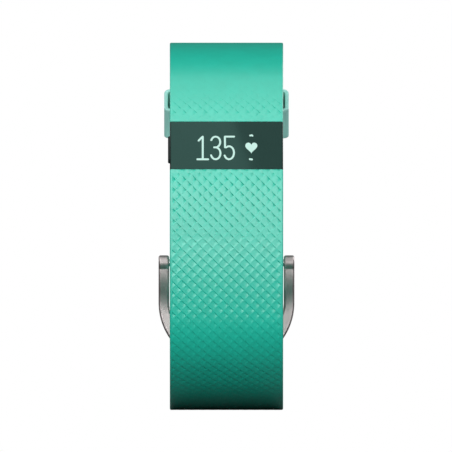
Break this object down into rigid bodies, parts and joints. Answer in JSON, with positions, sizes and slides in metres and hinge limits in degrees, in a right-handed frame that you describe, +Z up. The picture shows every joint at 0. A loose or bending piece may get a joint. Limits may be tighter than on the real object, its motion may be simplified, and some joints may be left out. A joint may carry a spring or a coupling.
{
  "type": "fitness tracker band",
  "caption": "Wrist-worn fitness tracker: a textured elastomer band with a built-in display, side button and pulse sensor, closed by a steel tang buckle and keeper.",
  "frame": {"origin": "on the wrist's axis, in the middle of the closed loop", "axes": "+Z up along the loop's long side, display facing -Y, buckle at the rear on +Y, +X along the wrist, to the right as the display is read; the button is on the -X side"},
  "size_m": [0.0252, 0.0586, 0.0684],
  "materials": {
    "strap_rubber": "satin",
    "keeper_rubber": "satin",
    "satin_steel": "satin",
    "bright_steel": "satin",
    "dark_glass": "gloss",
    "panel_glass": "gloss",
    "housing_plastic": "matte",
    "cover_plastic": "matte",
    "button_plastic": "satin",
    "black_seal": "matte",
    "board_laminate": "satin",
    "chip_epoxy": "matte",
    "chip_can": "satin",
    "antenna_ceramic": "matte",
    "flex_film": "satin",
    "cell_foil": "satin",
    "foam": "matte",
    "motor_steel": "satin",
    "weight_tungsten": "satin",
    "led_epoxy": "gloss",
    "diode_glass": "gloss",
    "sensor_glass": "gloss",
    "gold_contact": "satin",
    "vent_film": "matte"
  },
  "bodies": {
    "band": {"buckle_strap": "strap_rubber", "hole_strap": "strap_rubber", "buckle_pin": "bright_steel", "main_housing": "housing_plastic", "perimeter_gasket": "black_seal", "back_cover": "cover_plastic", "cover_screws": "bright_steel", "display_lens": "dark_glass", "display_gasket": "black_seal", "oled_panel": "panel_glass", "oled_flex": "flex_film", "button_switch": "chip_can", "main_pcb": "board_laminate", "processor_chip": "chip_epoxy", "radio_chip": "chip_epoxy", "accelerometer": "chip_epoxy", "altimeter": "chip_can", "antenna": "antenna_ceramic", "battery": "cell_foil", "battery_pad": "foam", "battery_board": "board_laminate", "vibration_motor": "motor_steel", "motor_boot": "black_seal", "sensor_board": "board_laminate", "green_leds": "led_epoxy", "photodiode": "diode_glass", "light_baffle": "black_seal", "sensor_window": "sensor_glass", "vent_membrane": "vent_film", "charging_port": "housing_plastic", "charging_contacts": "gold_contact"},
    "keeper": {"strap_keeper": "keeper_rubber"},
    "buckle": {"buckle_frame": "satin_steel"},
    "prong": {"buckle_prong": "satin_steel"},
    "button": {"button_cap": "button_plastic", "button_seal": "black_seal"},
    "motor_rotor": {"motor_weight": "weight_tungsten"}
  },
  "joints": [
    {"name": "side_button_press", "type": "slide", "parent": "band", "child": "button", "axis": [1, 0, 0], "range_m": [0, 0.0003], "stiffness_N_per_m": 2500, "springref_m": -0.0002},
    {"name": "keeper_slide", "type": "hinge", "parent": "band", "child": "keeper", "pos_m": [0, 0.00187, 0.00815], "axis": [1, 0, 0], "range_deg": [-14, 12]},
    {"name": "buckle_hinge", "type": "hinge", "parent": "band", "child": "buckle", "pos_m": [0, 0.02604, -0.0068], "axis": [1, 0, 0], "range_deg": [0, 6]},
    {"name": "prong_hinge", "type": "hinge", "parent": "buckle", "child": "prong", "pos_m": [0, 0.02604, -0.0068], "axis": [1, 0, 0], "range_deg": [0, 4.5]},
    {"name": "motor_spin", "type": "hinge", "parent": "band", "child": "motor_rotor", "pos_m": [0, -0.01634, 0.02073], "axis": [1, 0, 0], "continuous": true}
  ]
}
